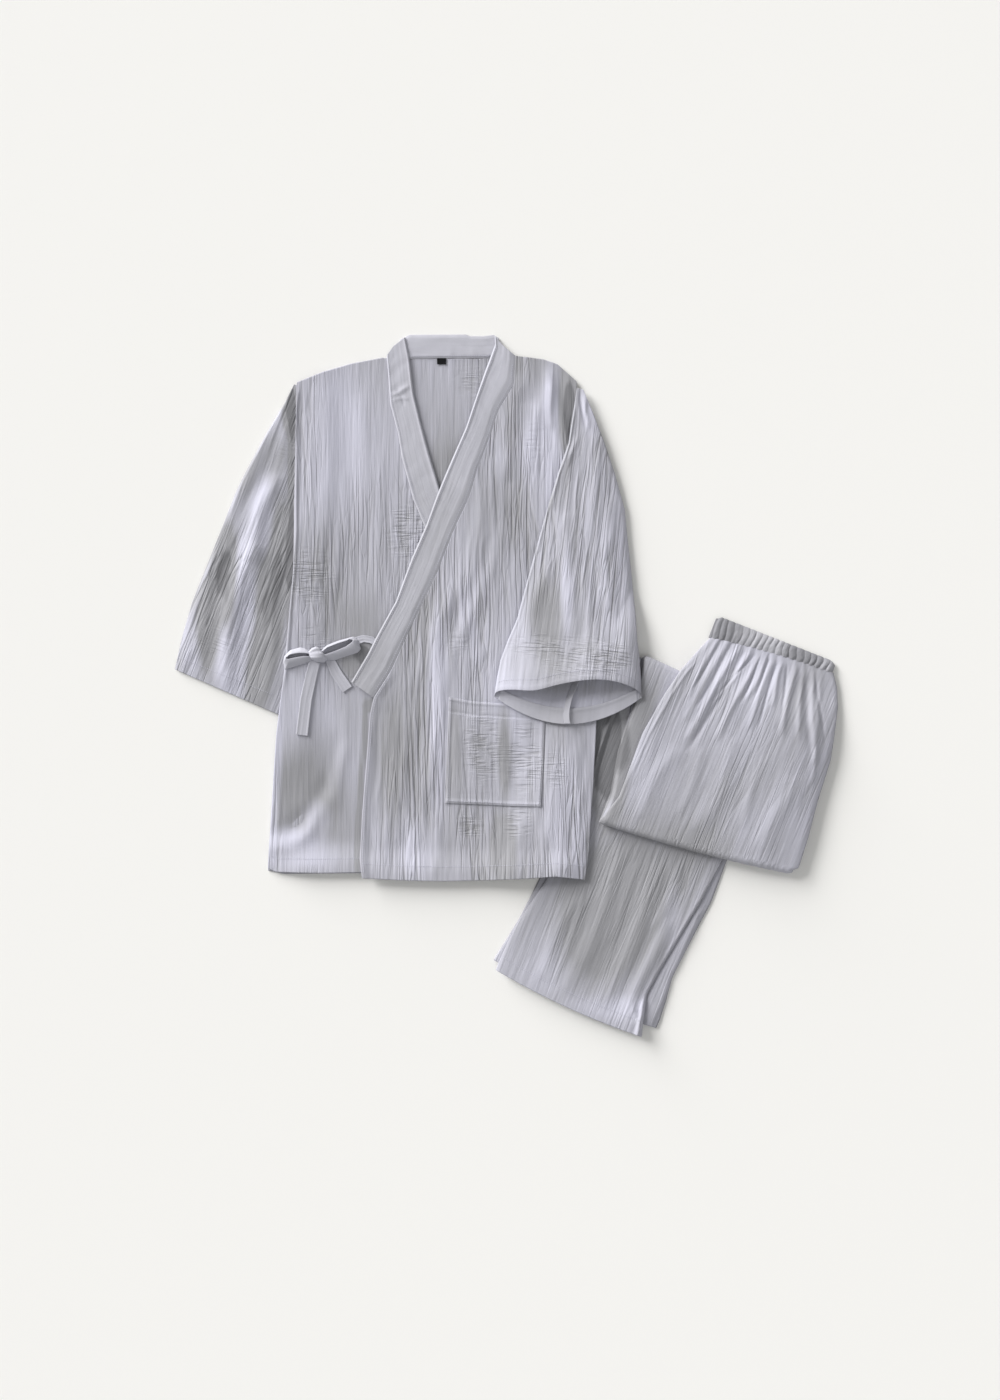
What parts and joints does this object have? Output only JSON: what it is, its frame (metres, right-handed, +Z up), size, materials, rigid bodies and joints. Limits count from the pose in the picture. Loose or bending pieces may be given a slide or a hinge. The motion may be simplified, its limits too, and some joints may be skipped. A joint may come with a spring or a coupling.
{
  "type": "kimono pajama set, laid flat",
  "caption": "Wrap-front kimono pajama jacket tied with a bow, beside matching wide trousers folded in three, laid flat.",
  "frame": {"origin": "centre of the bounding box on the surface that the garments lie on", "axes": "+Z up from the surface, +Y from the jacket's hem to its collar, +X towards the wearer's left, where the trousers lie"},
  "size_m": [0.9268, 0.9814, 0.0363],
  "materials": {
    "gauze": "matte crinkled double gauze",
    "gauze_band": "matte pressed double gauze",
    "label": "matte woven tape"
  },
  "bodies": {
    "root": {"jacket_back": "gauze", "jacket_right_front": "gauze", "jacket_left_front": "gauze", "collar_right": "gauze_band", "collar_neck": "gauze_band", "collar_left": "gauze_band", "patch_pocket": "gauze", "neck_label": "label", "right_sleeve": "gauze", "left_sleeve": "gauze", "tie_knot": "gauze_band", "tie_loop_left": "gauze_band", "tie_loop_right": "gauze_band", "tie_tail_long": "gauze_band", "tie_tail_short": "gauze_band", "tie_to_band": "gauze_band", "tie_to_side": "gauze_band", "trouser_left_leg": "gauze", "trouser_right_leg": "gauze", "trouser_waistband": "gauze_band"}
  },
  "joints": []
}
